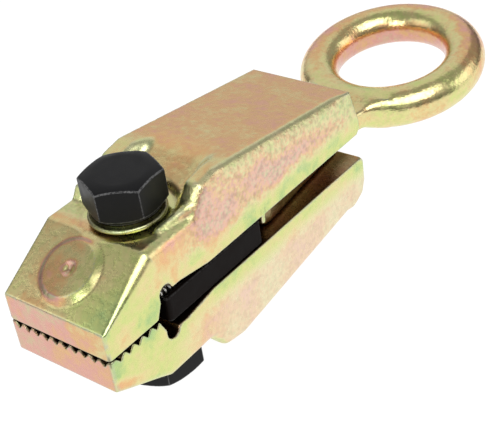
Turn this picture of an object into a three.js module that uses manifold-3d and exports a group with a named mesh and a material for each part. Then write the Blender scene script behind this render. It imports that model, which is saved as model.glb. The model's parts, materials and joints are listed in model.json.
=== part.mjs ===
// Self-tightening pull clamp for straightening sheet-metal bodies: two forged jaws held together by
// one hex bolt, with a sliding pull block and a forged eye between them.
// Millimetres, +Z up. The pieces are drawn in the jaw frame: X across the jaws, Y from the front
// teeth to the eye, Z = 0 in the plane where the teeth meet. The whole clamp is then moved so that
// the origin is the bottom centre of its bounding box.
import * as THREE from "three";
import { mergeVertices } from "three/addons/utils/BufferGeometryUtils.js";
import Module from "manifold-3d";

const wasm = await Module();
wasm.setup();

// ---- Driving dimensions ----
const GAP = 0.3; // clearance between pieces that touch
const JAW_WIDTH = 43;
const TOOTH_PLANE = GAP / 2; // each jaw's bite face stands this far from the meeting plane
const SLOT_HALF_HEIGHT = 5.2;
const SHELF_HEIGHT = 24.4; // flat shelf round the bolt, measured from the meeting plane
const SEAT_HEIGHT = SHELF_HEIGHT + 0.2; // where the washer and the nut sit
const UPPER_NOSE_EDGE = 10.2; // height of a jaw's front face
const LOWER_NOSE_EDGE = 11.8;
const SCOOP_RADIUS = 17;
const RAMP_HALF_WIDTH = 13.5;
const ABOVE_JAW = 40; // clear of the jaw's highest point
const BOLT_Y = 38.3;
const BOLT_HOLE_RADIUS = 9.1;
const SPRING_POCKET_RADIUS = 11.6;
const SPRING_POCKET_HEIGHT = 9.2;

const BOLT_RADIUS = 7.9;
const BOLT_LENGTH = 66.8; // under the head
const HEAD_ACROSS_CORNERS = 27.4;
const HEAD_HEIGHT = 11.9;
const HEAD_TURN = 36.7; // degrees from +X to the first corner
const NUT_ACROSS_CORNERS = 31.2;
const NUT_HEIGHT = 12.6;
const NUT_TURN = 21.6;
const HEX_CHAMFER = 1.5;

const WASHER_RADIUS = 13.9;
const WASHER_THICKNESS = 2.4;

const BLOCK_FRONT = 27.4;
const BLOCK_REAR = 75.6;
const BLOCK_HALF_WIDTH = 20.9;
const BLOCK_BOTTOM = -4.9;
const BLOCK_TOP = 4.4;
const FORK_HALF_WIDTH = 11.8;
const PULL_TRAVEL = 2.5; // forward travel of the block against its return springs
const FORK_ROOT_Y = BOLT_Y + PULL_TRAVEL + 0.2;

const PIVOT_Y = 65.6;
const SOCKET_RADIUS = 9.5;
const NECK_HALF_WIDTH = 5.4;
const SWING = THREE.MathUtils.degToRad(8);

const EYE_Y = 191.7;
const EYE_Z = 1.7;
const EYE_MAJOR_RADIUS = 29.3;
const EYE_MINOR_RADIUS = 7.9;
const EYE_TILT = THREE.MathUtils.degToRad(8);

const TOOTH_DEPTH_ACROSS = 2.1;
const TOOTH_DEPTH_ALONG = 1.8;
const TOOTH_HALF_WIDTH = 1.5;
const TOOTH_PITCH_ACROSS = 4.1;
const TOOTH_PITCH_ALONG = 4.1;
const FIRST_TOOTH_Y = 4.3;
const TOOTH_ROWS_ACROSS = 10;
const TOOTH_ROWS_ALONG = 5;

const JAW_SPRING_RADIUS = 10.1; // to the middle of the wire
const JAW_SPRING_WIRE = 0.85;
const JAW_SPRING_TURNS = 5;
const RETURN_SPRING_X = 16.4;
const RETURN_SPRING_Z = 4.5;
const RETURN_SPRING_RADIUS = 1.65;
const RETURN_SPRING_WIRE = 0.45;
const RETURN_SPRING_TURNS = 7;
const RETURN_SPRING_FRONT = 25.1;
const RETURN_SPRING_REAR = 37.6;
const RETURN_GROOVE_RADIUS = 2.4;

const LUG_FRONT = BLOCK_REAR + GAP;
const LUG_LENGTH = 1.7;
const LUG_WIDTH = 4.1;
const LUG_TIP = 2.2; // lowest point of a stop lug
const LUG_ROOT = 8; // well inside the jaw

// ---- Materials ----
const ZINC = { color: 0xc9b07a, roughness: 0.38, metalness: 0.9 };
const BLACK = { color: 0x26262a, roughness: 0.5, metalness: 0.6 };
const SPRING_STEEL = { color: 0x8f8f8c, roughness: 0.35, metalness: 0.9 };

// ---- Solids ----
function toSolid(geometry) {
  const bare = geometry.clone();
  bare.deleteAttribute("normal");
  bare.deleteAttribute("uv");
  const merged = mergeVertices(bare, 1e-4);
  return new wasm.Manifold(new wasm.Mesh({
    numProp: 3,
    vertProperties: new Float32Array(merged.attributes.position.array),
    triVerts: new Uint32Array(merged.index.array),
  }));
}

function toGeometry(solid) {
  const mesh = solid.getMesh();
  const geometry = new THREE.BufferGeometry();
  geometry.setAttribute("position", new THREE.BufferAttribute(mesh.vertProperties, 3));
  geometry.setIndex(new THREE.BufferAttribute(mesh.triVerts, 1));
  geometry.computeVertexNormals();
  return geometry;
}

function extrude(shape, depth, curveSegments = 10) {
  return new THREE.ExtrudeGeometry(shape, { depth, bevelEnabled: false, curveSegments });
}

// A prism across the jaws: the outline is drawn in (y, z).
function across(shape, x0, x1, curveSegments) {
  const geometry = extrude(shape, x1 - x0, curveSegments);
  const turn = new THREE.Matrix4().makeBasis(
    new THREE.Vector3(0, 1, 0),
    new THREE.Vector3(0, 0, 1),
    new THREE.Vector3(1, 0, 0),
  );
  return toSolid(geometry.applyMatrix4(turn).translate(x0, 0, 0));
}

// A prism upwards: the outline is drawn in (x, y).
function upwards(shape, z0, z1, curveSegments) {
  return toSolid(extrude(shape, z1 - z0, curveSegments).translate(0, 0, z0));
}

function polygon(points) {
  return new THREE.Shape(points.map(([u, v]) => new THREE.Vector2(u, v)));
}

// A vertical cylinder.
function post(radius, z0, z1, x, y, sides = 32) {
  const geometry = new THREE.CylinderGeometry(radius, radius, z1 - z0, sides);
  return toSolid(geometry.rotateX(Math.PI / 2).translate(x, y, (z0 + z1) / 2));
}

function box(x0, x1, y0, y1, z0, z1) {
  const geometry = new THREE.BoxGeometry(x1 - x0, y1 - y0, z1 - z0);
  return toSolid(geometry.translate((x0 + x1) / 2, (y0 + y1) / 2, (z0 + z1) / 2));
}

// A turned solid about the bolt axis: the profile is drawn as (radius, z).
function turned(profile, sides = 32) {
  const points = profile.map(([r, z]) => new THREE.Vector2(r, z));
  const geometry = new THREE.LatheGeometry(points, sides);
  return toSolid(geometry.rotateX(Math.PI / 2).translate(0, BOLT_Y, 0));
}

// ---- Jaws ----
// Side outline of a jaw, drawn as the upper one; the lower jaw is its mirror image except at the
// rear and in the height of its front face.
function jawOutline(rear, noseEdge) {
  const shape = new THREE.Shape();
  shape.moveTo(0, TOOTH_PLANE);
  shape.lineTo(22.2, TOOTH_PLANE);
  shape.lineTo(24.6, 5.4);
  shape.lineTo(24.7, 7.4);
  shape.absarc(27.4, 7.4, 2.7, Math.PI, 0, true);
  shape.lineTo(34, 7.4);
  shape.lineTo(48, SLOT_HALF_HEIGHT);
  rear.forEach(([y, z]) => shape.lineTo(y, z));
  shape.lineTo(59.5, 33.8);
  shape.lineTo(50.6, 32.3);
  shape.lineTo(44.2, SHELF_HEIGHT);
  shape.lineTo(23.6, SHELF_HEIGHT);
  shape.lineTo(0, noseEdge);
  shape.closePath();
  return shape;
}

const UPPER_REAR = [
  [134, SLOT_HALF_HEIGHT],
  [135.8, 7],
  [135.6, 10.4],
  [132.9, 15.2],
  [130.4, 23.8],
];
const LOWER_REAR = [
  [134.6, SLOT_HALF_HEIGHT],
  [136.6, 7],
  [136.8, 17.6],
  [135, 21.6],
  [130.4, 23.8],
];

// Room for a wrench: a round scoop at the bolt and a ramp that climbs to the jaw's back.
function wrenchScoop() {
  const scoop = post(SCOOP_RADIUS, SEAT_HEIGHT, ABOVE_JAW, 0, BOLT_Y);
  const ramp = polygon([
    [BOLT_Y, SEAT_HEIGHT],
    [50.5, SEAT_HEIGHT + 0.4],
    [69, 33.1],
    [69, ABOVE_JAW],
    [BOLT_Y, ABOVE_JAW],
  ]);
  return scoop.add(across(ramp, -RAMP_HALF_WIDTH, RAMP_HALF_WIDTH));
}

function jaw(rear, noseEdge) {
  const half = JAW_WIDTH / 2;
  return across(jawOutline(rear, noseEdge), -half, half)
    .subtract(wrenchScoop())
    .subtract(post(BOLT_HOLE_RADIUS, -1, ABOVE_JAW, 0, BOLT_Y))
    .subtract(post(SPRING_POCKET_RADIUS, -1, SPRING_POCKET_HEIGHT, 0, BOLT_Y));
}

// V grooves across and along the bite face leave pyramid teeth.
function toothCutters() {
  const half = JAW_WIDTH / 2;
  const cutters = [];
  const groove = (centre, depth) => polygon([
    [centre - TOOTH_HALF_WIDTH, TOOTH_PLANE - 0.2],
    [centre + TOOTH_HALF_WIDTH, TOOTH_PLANE - 0.2],
    [centre, TOOTH_PLANE + depth],
  ]);
  for (let row = 0; row < TOOTH_ROWS_ALONG; row += 1) {
    const y = FIRST_TOOTH_Y + row * TOOTH_PITCH_ALONG;
    cutters.push(across(groove(y, TOOTH_DEPTH_ALONG), -half - 1, half + 1));
  }
  for (let row = 0; row < TOOTH_ROWS_ACROSS; row += 1) {
    const x = (row - (TOOTH_ROWS_ACROSS - 1) / 2) * TOOTH_PITCH_ACROSS;
    const lengthways = extrude(groove(x, TOOTH_DEPTH_ACROSS), 25).rotateX(Math.PI / 2);
    cutters.push(toSolid(lengthways.translate(0, 24, 0)));
  }
  return cutters;
}

function lowerJaw() {
  let solid = jaw(LOWER_REAR, LOWER_NOSE_EDGE);
  toothCutters().forEach((cutter) => {
    solid = solid.subtract(cutter);
  });
  return solid.mirror([0, 0, 1]);
}

// The upper jaw adds two stop lugs behind the pull block, one at each side.
function upperJaw() {
  const outside = JAW_WIDTH / 2;
  const inside = outside - LUG_WIDTH;
  const rear = LUG_FRONT + LUG_LENGTH;
  return jaw(UPPER_REAR, UPPER_NOSE_EDGE)
    .add(box(inside, outside, LUG_FRONT, rear, LUG_TIP, LUG_ROOT))
    .add(box(-outside, -inside, LUG_FRONT, rear, LUG_TIP, LUG_ROOT));
}

// ---- Fasteners ----
function hexPrism(acrossCorners, z0, z1, turn) {
  const radius = acrossCorners / 2;
  const corners = [];
  for (let i = 0; i < 6; i += 1) {
    const angle = THREE.MathUtils.degToRad(turn + 60 * i);
    corners.push([radius * Math.cos(angle), BOLT_Y + radius * Math.sin(angle)]);
  }
  return upwards(polygon(corners), z0, z1);
}

// The cone frustums that round a hexagon's corners at both ends.
function hexChamfer(acrossCorners, z0, z1) {
  const outer = acrossCorners / 2 + 0.1;
  const inner = acrossCorners / 2 - HEX_CHAMFER;
  const rise = HEX_CHAMFER * 0.65;
  return turned([
    [0, z0],
    [inner, z0],
    [outer, z0 + rise],
    [outer, z1 - rise],
    [inner, z1],
    [0, z1],
  ]);
}

const WASHER_BOTTOM = SEAT_HEIGHT + GAP;
const HEAD_BOTTOM = WASHER_BOTTOM + WASHER_THICKNESS + GAP;
const HEAD_TOP = HEAD_BOTTOM + HEAD_HEIGHT;
const BOLT_END = HEAD_BOTTOM - BOLT_LENGTH;
const NUT_TOP = -SEAT_HEIGHT - GAP;
const NUT_BOTTOM = NUT_TOP - NUT_HEIGHT;

function clampBolt() {
  const shank = turned([
    [0, BOLT_END],
    [BOLT_RADIUS - 1.4, BOLT_END],
    [BOLT_RADIUS, BOLT_END + 1.4],
    [BOLT_RADIUS, HEAD_BOTTOM + 1],
    [0, HEAD_BOTTOM + 1],
  ]);
  const head = hexPrism(HEAD_ACROSS_CORNERS, HEAD_BOTTOM, HEAD_TOP, HEAD_TURN)
    .intersect(hexChamfer(HEAD_ACROSS_CORNERS, HEAD_BOTTOM, HEAD_TOP));
  return head.add(shank);
}

function clampNut() {
  return hexPrism(NUT_ACROSS_CORNERS, NUT_BOTTOM, NUT_TOP, NUT_TURN)
    .intersect(hexChamfer(NUT_ACROSS_CORNERS, NUT_BOTTOM, NUT_TOP))
    .subtract(post(BOLT_RADIUS + GAP, NUT_BOTTOM - 1, NUT_TOP + 1, 0, BOLT_Y));
}

function boltWasher() {
  const top = WASHER_BOTTOM + WASHER_THICKNESS;
  return post(WASHER_RADIUS, WASHER_BOTTOM, top, 0, BOLT_Y)
    .subtract(post(BOLT_RADIUS + 0.5, WASHER_BOTTOM - 1, top + 1, 0, BOLT_Y));
}

// ---- Pull block and eye ----
// The block is a fork round the bolt in front and a keyhole socket for the eye's round head behind.
function pullBlock() {
  const plate = box(-BLOCK_HALF_WIDTH, BLOCK_HALF_WIDTH, BLOCK_FRONT, BLOCK_REAR, BLOCK_BOTTOM, BLOCK_TOP);
  const z0 = BLOCK_BOTTOM - 1;
  const z1 = BLOCK_TOP + 1;
  const fork = box(-FORK_HALF_WIDTH, FORK_HALF_WIDTH, BLOCK_FRONT - 1, FORK_ROOT_Y, z0, z1)
    .add(post(FORK_HALF_WIDTH, z0, z1, 0, FORK_ROOT_Y));
  const reach = BLOCK_REAR + 1 - PIVOT_Y;
  const side = NECK_HALF_WIDTH + GAP;
  const mouth = upwards(polygon([
    [-side, PIVOT_Y],
    [side, PIVOT_Y],
    [side + reach * Math.tan(SWING) + 0.2, BLOCK_REAR + 1],
    [-side - reach * Math.tan(SWING) - 0.2, BLOCK_REAR + 1],
  ]), z0, z1);
  let solid = plate
    .subtract(fork)
    .subtract(mouth)
    .subtract(post(SOCKET_RADIUS, z0, z1, 0, PIVOT_Y));
  [-1, 1].forEach((hand) => {
    const groove = new THREE.CylinderGeometry(RETURN_GROOVE_RADIUS, RETURN_GROOVE_RADIUS, 12, 16);
    groove.translate(hand * RETURN_SPRING_X, RETURN_SPRING_REAR + GAP - 6, RETURN_SPRING_Z);
    solid = solid.subtract(toSolid(groove));
  });
  return solid;
}

// Half of the plan outline of the eye's shank, from the head to the ring, as (x, y).
const SHANK_PLAN = [
  [NECK_HALF_WIDTH, PIVOT_Y],
  [NECK_HALF_WIDTH, 78],
  [13, 80.6],
  [16.2, 83],
  [16.7, 86],
  [11.4, 134],
  [10.4, 146],
  [12.5, 156],
  [17, 161],
];

function pullEye() {
  const outline = [...SHANK_PLAN, ...SHANK_PLAN.map(([x, y]) => [-x, y]).reverse()];
  const shank = upwards(polygon(outline), BLOCK_BOTTOM, 4.2);
  // The top slopes down towards the eye, so that the upper jaw can rock.
  const slope = across(polygon([[76, 4.4], [84, 4.1], [136, 3.1], [175, 3.1], [175, 9], [76, 9]]), -30, 30);
  const head = post(SOCKET_RADIUS - GAP, BLOCK_BOTTOM, BLOCK_TOP, 0, PIVOT_Y);
  const ring = new THREE.TorusGeometry(EYE_MAJOR_RADIUS, EYE_MINOR_RADIUS, 16, 44)
    .rotateX(EYE_TILT)
    .translate(0, EYE_Y, EYE_Z);
  return shank.subtract(slope).add(head).add(toSolid(ring));
}

// ---- Springs ----
class Helix extends THREE.Curve {
  constructor(radius, length, turns) {
    super();
    this.radius = radius;
    this.length = length;
    this.turns = turns;
  }

  getPoint(t, target = new THREE.Vector3()) {
    const angle = t * this.turns * 2 * Math.PI;
    const { radius, length } = this;
    return target.set(radius * Math.cos(angle), radius * Math.sin(angle), (t - 0.5) * length);
  }
}

// A coil about the Z axis, centred on the origin.
function coil(radius, wire, turns, length, stepsPerTurn) {
  const section = new THREE.Shape();
  section.absarc(0, 0, wire, 0, 2 * Math.PI);
  return new THREE.ExtrudeGeometry(section, {
    extrudePath: new Helix(radius, length - 2 * wire, turns),
    steps: turns * stepsPerTurn,
    curveSegments: 6,
    bevelEnabled: false,
  });
}

function jawSpring() {
  const length = 2 * (SPRING_POCKET_HEIGHT - GAP);
  const geometry = coil(JAW_SPRING_RADIUS, JAW_SPRING_WIRE, JAW_SPRING_TURNS, length, 14);
  return toSolid(geometry.translate(0, BOLT_Y, 0));
}

function returnSpring(hand) {
  const length = RETURN_SPRING_REAR - RETURN_SPRING_FRONT;
  const geometry = coil(RETURN_SPRING_RADIUS, RETURN_SPRING_WIRE, RETURN_SPRING_TURNS, length, 9);
  const middle = (RETURN_SPRING_REAR + RETURN_SPRING_FRONT) / 2;
  geometry.rotateX(Math.PI / 2).translate(hand * RETURN_SPRING_X, middle, RETURN_SPRING_Z);
  return toSolid(geometry);
}

// ---- Assembly ----
const clamp = new THREE.Group();

function addPiece(name, solid, finish) {
  const mesh = new THREE.Mesh(toGeometry(solid), new THREE.MeshStandardMaterial(finish));
  mesh.name = name;
  clamp.add(mesh);
}

addPiece("upper_jaw", upperJaw(), ZINC);
addPiece("lower_jaw", lowerJaw(), ZINC);
addPiece("clamp_bolt", clampBolt(), BLACK);
addPiece("clamp_nut", clampNut(), BLACK);
addPiece("bolt_washer", boltWasher(), ZINC);
addPiece("pull_block", pullBlock(), BLACK);
addPiece("pull_eye", pullEye(), ZINC);
addPiece("jaw_spring", jawSpring(), SPRING_STEEL);
addPiece("return_spring_left", returnSpring(-1), SPRING_STEEL);
addPiece("return_spring_right", returnSpring(1), SPRING_STEEL);

const extent = new THREE.Box3().setFromObject(clamp);
clamp.position.set(0, -(extent.min.y + extent.max.y) / 2, -extent.min.z);

const object = new THREE.Group();
object.add(clamp);
export default object;
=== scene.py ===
import json
import math
from types import SimpleNamespace

import bpy
import numpy as np
from mathutils import Matrix, Vector


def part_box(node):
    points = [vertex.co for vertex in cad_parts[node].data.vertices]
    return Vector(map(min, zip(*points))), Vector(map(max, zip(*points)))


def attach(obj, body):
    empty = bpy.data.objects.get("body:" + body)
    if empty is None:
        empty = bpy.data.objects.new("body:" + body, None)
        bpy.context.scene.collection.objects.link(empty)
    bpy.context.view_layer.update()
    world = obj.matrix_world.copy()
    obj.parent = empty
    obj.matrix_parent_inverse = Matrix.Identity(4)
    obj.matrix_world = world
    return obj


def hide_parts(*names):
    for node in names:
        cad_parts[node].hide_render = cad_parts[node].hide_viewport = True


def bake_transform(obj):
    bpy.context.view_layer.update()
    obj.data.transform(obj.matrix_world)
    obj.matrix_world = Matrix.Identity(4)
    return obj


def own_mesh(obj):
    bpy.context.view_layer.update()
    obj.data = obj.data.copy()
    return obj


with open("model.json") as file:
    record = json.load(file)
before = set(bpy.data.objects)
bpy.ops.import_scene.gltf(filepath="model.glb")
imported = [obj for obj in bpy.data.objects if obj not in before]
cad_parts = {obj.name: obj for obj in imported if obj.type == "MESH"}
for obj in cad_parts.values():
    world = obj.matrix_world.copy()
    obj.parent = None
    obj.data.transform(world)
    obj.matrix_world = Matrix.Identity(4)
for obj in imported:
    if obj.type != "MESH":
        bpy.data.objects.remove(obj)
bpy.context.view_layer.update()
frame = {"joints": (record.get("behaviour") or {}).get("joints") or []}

# ---------------------------------------------------------------------------------------------
# The jaw frame, in which every shape below is drawn: millimetres, X across the jaws, Y from the
# teeth to the eye, Z from the plane where the jaws meet.
# ---------------------------------------------------------------------------------------------
MM = 0.001
joints = {joint["name"]: joint for joint in frame["joints"]}
ORIGIN = np.array([
    0.0,
    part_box("lower_jaw")[0].y,
    (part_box("lower_jaw")[1].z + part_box("upper_jaw")[0].z) / 2,
])


def to_jaw_frame(point):
    return (np.array(point) - ORIGIN) / MM


def to_row_frame(point):
    return np.array(point) * MM + ORIGIN


def jaw_box(node):
    low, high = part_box(node)
    return to_jaw_frame(low), to_jaw_frame(high)


JAW_LOW, JAW_HIGH = jaw_box("upper_jaw")
HALF_WIDTH = JAW_HIGH[0]
TOOTH_PLANE = JAW_LOW[2]
BOLT_Y = to_jaw_frame(joints["bolt_turn"]["pos_m"])[1]
PIVOT_Y = to_jaw_frame(joints["eye_swing"]["pos_m"])[1]

# ---------------------------------------------------------------------------------------------
# Signed distances: below zero inside a solid, above zero outside it. The last number given to
# both, either and without is the radius of the edge that they make.
# ---------------------------------------------------------------------------------------------
SLANT = 0.7  # turns a value that grows along a slope of about 45 degrees into a distance
OVERLAP = 2.0  # how far the parts of one solid reach into each other


def both(a, b, radius):
    """What a and b share, with the edge between them rounded."""
    reach = np.hypot(np.maximum(a + radius, 0), np.maximum(b + radius, 0))
    return np.minimum(np.maximum(a, b), -radius) + reach


def either(a, b, radius):
    """a and b joined, with a fillet between them."""
    reach = np.hypot(np.maximum(radius - a, 0), np.maximum(radius - b, 0))
    return np.maximum(np.minimum(a, b), radius) - reach


def without(a, b, radius):
    """a with b cut away, and the rim of the cut rounded."""
    return both(a, -b, radius)


def between(value, low, high):
    return np.maximum(low - value, value - high)


def smooth_step(value, low, high):
    share = np.clip((value - low) / (high - low), 0, 1)
    return share * share * (3 - 2 * share)


def fade_out(value, low, high):
    return 1 - smooth_step(value, low, high)


def mix(share, a, b):
    return a + (b - a) * share


def rounded(corners, steps=6):
    """The points of a closed outline given as corners (u, v, radius)."""
    outline = []
    earlier, later = corners[-1:] + corners[:-1], corners[1:] + corners[:1]
    for before, corner, after in zip(earlier, corners, later):
        tip, radius = Vector(corner[:2]), corner[2]
        if radius == 0:
            outline.append(tuple(tip))
            continue
        back = (Vector(before[:2]) - tip).normalized()
        ahead = (Vector(after[:2]) - tip).normalized()
        half = back.angle(ahead) / 2
        centre = tip + (back + ahead).normalized() * radius / math.sin(half)
        start = tip + back * radius / math.tan(half) - centre
        end = tip + ahead * radius / math.tan(half) - centre
        turn = math.atan2(start.cross(end), start.dot(end))
        for step in range(steps + 1):
            spoke = start.copy()
            spoke.rotate(Matrix.Rotation(turn * step / steps, 2))
            outline.append(tuple(centre + spoke))
    return outline


def outline_distance(outline, u, v):
    """Signed distance to a closed outline of straight stretches."""
    nearest = np.inf
    inside = False
    for (ua, va), (ub, vb) in zip(outline, outline[1:] + outline[:1]):
        du, dv = ub - ua, vb - va
        length = du * du + dv * dv
        if length < 1e-12:
            continue
        along = np.clip(((u - ua) * du + (v - va) * dv) / length, 0, 1)
        nearest = np.minimum(nearest, (u - ua - along * du) ** 2 + (v - va - along * dv) ** 2)
        if dv != 0:
            level = (va <= v) != (vb <= v)
            inside = inside ^ (level & (u < ua + (v - va) * du / dv))
    return np.where(inside, -1, 1) * np.sqrt(nearest)


# ---------------------------------------------------------------------------------------------
# From a distance field to a mesh
# ---------------------------------------------------------------------------------------------
NEIGHBOURS = [(-1, -1), (0, -1), (0, 0), (-1, 0)]  # the cells round a grid edge, anticlockwise
PROBE = 0.02  # how far from a point its field is read to find the slope
LEAST_SLOPE = 0.2  # smaller slopes count as this, so that no point is thrown far off
LONGEST_MOVE = 0.6  # of a grid step
BEND_REACH = 0.45  # how far from a point its field is read to find the bend
LARGEST_BEND = 2
LUMP_TABLE = 32
HAMMER_MARKS = [(0.45, 6.0), (0.35, 3.1), (0.2, 1.5)]  # weight and size in millimetres


def surface(field, low, high, step):
    """The field's zero surface, as vertices and four-sided faces (surface nets)."""
    axes = [np.arange(a - 2 * step, b + 3 * step, step) for a, b in zip(low, high)]
    sizes = tuple(len(axis) for axis in axes)
    values = np.broadcast_to(field(*np.meshgrid(*axes, indexing="ij", sparse=True)), sizes)
    cells, places = [], []
    for axis in range(3):
        before = [slice(None)] * 3
        after = [slice(None)] * 3
        before[axis], after[axis] = slice(None, -1), slice(1, None)
        a, b = values[tuple(before)], values[tuple(after)]
        edges = np.argwhere((a < 0) != (b < 0))
        at_a, at_b = a[tuple(edges.T)], b[tuple(edges.T)]
        place = edges.astype(float)
        place[:, axis] += at_a / (at_a - at_b)
        ring = np.repeat(edges[:, None, :], 4, axis=1)
        for corner, (du, dv) in enumerate(NEIGHBOURS):
            ring[:, corner, (axis + 1) % 3] += du
            ring[:, corner, (axis + 2) % 3] += dv
        ring[at_a >= 0] = ring[at_a >= 0][:, ::-1]
        cells.append(ring)
        places.append(np.repeat(place[:, None, :], 4, axis=1))
    cells, places = np.concatenate(cells), np.concatenate(places)
    numbers = np.ravel_multi_index(np.moveaxis(cells, 2, 0), sizes)
    used, faces = np.unique(numbers, return_inverse=True)
    faces = faces.reshape(-1, 4)
    count = np.bincount(faces.ravel(), minlength=len(used))
    sums = [np.bincount(faces.ravel(), places[..., k].ravel(), len(used)) for k in range(3)]
    starts = np.array([axis[0] for axis in axes])
    return starts + step * np.stack(sums, axis=1) / count[:, None], faces


def slope_and_bend(field, points, reach):
    """The field's value, gradient and bend (its Laplacian) at points."""
    value = field(*points.T)
    gradient = np.empty_like(points)
    bend = -6 * value
    for axis in range(3):
        shift = np.zeros(3)
        shift[axis] = reach
        ahead, behind = field(*(points + shift).T), field(*(points - shift).T)
        gradient[:, axis] = (ahead - behind) / (2 * reach)
        bend = bend + ahead + behind
    return value, gradient, bend / reach**2


def snapped(field, points, step):
    """Points moved onto the field's zero surface."""
    value, gradient, _ = slope_and_bend(field, points, PROBE)
    size = np.maximum((gradient**2).sum(axis=1), LEAST_SLOPE)
    move = -(value / size)[:, None] * gradient
    length = np.linalg.norm(move, axis=1, keepdims=True)
    return points + move * np.minimum(1, LONGEST_MOVE * step / np.maximum(length, 1e-9))


def lumps(points, size, seed):
    """Smooth chance values from -1 to 1 that change over `size` millimetres."""
    table = np.random.default_rng(seed).uniform(-1, 1, (LUMP_TABLE,) * 3)
    place = points / size + seed
    cell = np.floor(place).astype(int)
    share = place - cell
    share = share * share * (3 - 2 * share)
    total = 0
    for corner in np.ndindex(2, 2, 2):
        weight = np.prod(np.where(corner, share, 1 - share), axis=1)
        total = total + weight * table[tuple(((cell + corner) % LUMP_TABLE).T)]
    return total


def add_mesh(name, points, face_groups, values=None):
    """A smooth mesh object from points in the jaw frame; values are numbers kept at each point."""
    mesh = bpy.data.meshes.new(name)
    corners = np.concatenate([group.ravel() for group in face_groups])
    sides = np.concatenate([np.full(len(group), group.shape[1]) for group in face_groups])
    mesh.vertices.add(len(points))
    mesh.vertices.foreach_set("co", to_row_frame(points).astype(np.float32).ravel())
    mesh.loops.add(len(corners))
    mesh.loops.foreach_set("vertex_index", corners.astype(np.int32))
    mesh.polygons.add(len(sides))
    mesh.polygons.foreach_set("loop_start", (np.cumsum(sides) - sides).astype(np.int32))
    mesh.update(calc_edges=True)
    mesh.shade_smooth()
    for key, numbers in (values or {}).items():
        attribute = mesh.attributes.new(key, "FLOAT", "POINT")
        attribute.data.foreach_set("value", np.asarray(numbers, np.float32))
    made = bpy.data.objects.new(name, mesh)
    bpy.context.scene.collection.objects.link(made)
    return made


def sculpt(name, field, node, step, forging=0.0, paint=None):
    """A piece meshed from a field inside the CAD node's box.

    step is the grid's, and forging is how deep the hammered hollows go, both in millimetres.
    paint(points, normals) gives extra values at each point for the materials.
    """
    low, high = jaw_box(node)
    points, faces = surface(field, low, high, step)
    for _ in range(2):
        points = snapped(field, points, step)
    _, gradient, bend = slope_and_bend(field, points, BEND_REACH)
    normals = gradient / np.maximum(np.linalg.norm(gradient, axis=1, keepdims=True), 1e-9)
    values = {"bend": np.clip(bend, -LARGEST_BEND, LARGEST_BEND)}
    values.update(paint(points, normals) if paint else {})
    if forging:
        marks = enumerate(HAMMER_MARKS, 1)
        depth = sum(weight * lumps(points, size, seed) for seed, (weight, size) in marks)
        share = values.get("forged", 1.0)
        points = points - normals * (forging * share * (1 + depth) / 2)[:, None]
    points = np.clip(points, low, high)
    return add_mesh(name, points, [faces], values)


# ---------------------------------------------------------------------------------------------
# Jaws. Both are drawn with Z measured away from the other jaw.
# ---------------------------------------------------------------------------------------------
# Outlines are closed out here, clear of the jaws
BELOW, ABOVE = -30, 90
BEFORE, BEYOND = -20, 160

# The outside, from the front: nose, shelf round the bolt's seat, step and the long slope behind it
UPPER_NOSE_EDGE_Z = 10.2
LOWER_NOSE_EDGE_Z = 11.8
SHELF_FRONT_Y = 23.6
SHELF_REAR_Y = 44.2
SHELF_Z = 24.4
TOP_FRONT_Y, TOP_FRONT_Z = 59.5, 33.8
TOP_REAR_Y, TOP_REAR_Z = 131.8, 23.9
SLOT_Z = 5.2
UPPER_REAR = [
    (TOP_REAR_Y, TOP_REAR_Z, 1.2),
    (134.4, 15.2, 3),
    (135.8, 10.4, 2),
    (135.8, 7, 1.5),
    (134, SLOT_Z, 0),
]
LOWER_REAR = [
    (128.4, 23.6, 3),
    (134.8, 20.4, 3),
    (136.8, 15.6, 3),
    (136.8, 7, 1.2),
    (135.2, SLOT_Z, 0),
]

# The round pad on the nose
NOSE_ANGLE = math.atan2(SHELF_Z - UPPER_NOSE_EDGE_Z, SHELF_FRONT_Y)
PAD_X = -2.6
PAD_ALONG = 14.6  # from the nose's front edge, up its slope
PAD_RADIUS = 11.0
PAD_TOP_RADIUS = PAD_RADIUS - 1.6
PAD_RISE = 0.8
PAD_LEAN = 0.75  # it stands this much higher at its high side
PAD_HIGH_SIDE = (0.85, -0.5)  # across and along: the right front
PAD_EDGE = 2.4  # width of the slope round it
PAD_EDGE_GROWTH = 0.6  # how much wider that slope is where the pad is higher
DIMPLE_RADIUS = 2.8
DIMPLE_DEPTH = 0.9

# The bolt's seat
SCOOP_Z = 24.6
RAMP_HALF_WIDTH = 13.5
BOLT_HOLE_RADIUS = 9.1
SPRING_POCKET_RADIUS = 11.6
SPRING_POCKET_Z = 9.2
EAR_INSIDE_X = -17.4
SEAT_RIDGE = [(15.9, 34.6, 24.0), (17.6, 46.5, 25.8)]
SEAT_RIDGE_RADIUS = 1.6

# Radii of the edges between the outside and the flanks
LEFT_EDGE = 0.6
SHOULDER_EDGE = 4.0  # at the right, between nose and rear
UPPER_SHAPE = {"scoop_radius": 15.4, "tip_edge": 1.0, "rear_edge": 1.0}
LOWER_SHAPE = {"scoop_radius": 17.0, "tip_edge": 1.3, "rear_edge": 1.6}


def jaw_back(rear, nose_edge_z):
    """Side outline of a jaw's outside; its inside is cut by MOUTH."""
    lowest = (rear[-1][0], BELOW, 0)
    return rounded([
        (0, BELOW, 0),
        (0, nose_edge_z, 0.9),
        (SHELF_FRONT_Y, SHELF_Z, 3),
        (SHELF_REAR_Y, SHELF_Z, 2),
        (50.6, 32.3, 3),
        (TOP_FRONT_Y, TOP_FRONT_Z, 8),
        *rear,
        lowest,
    ])


UPPER_BACK = jaw_back(UPPER_REAR, UPPER_NOSE_EDGE_Z)
LOWER_BACK = jaw_back(LOWER_REAR, LOWER_NOSE_EDGE_Z)
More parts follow.
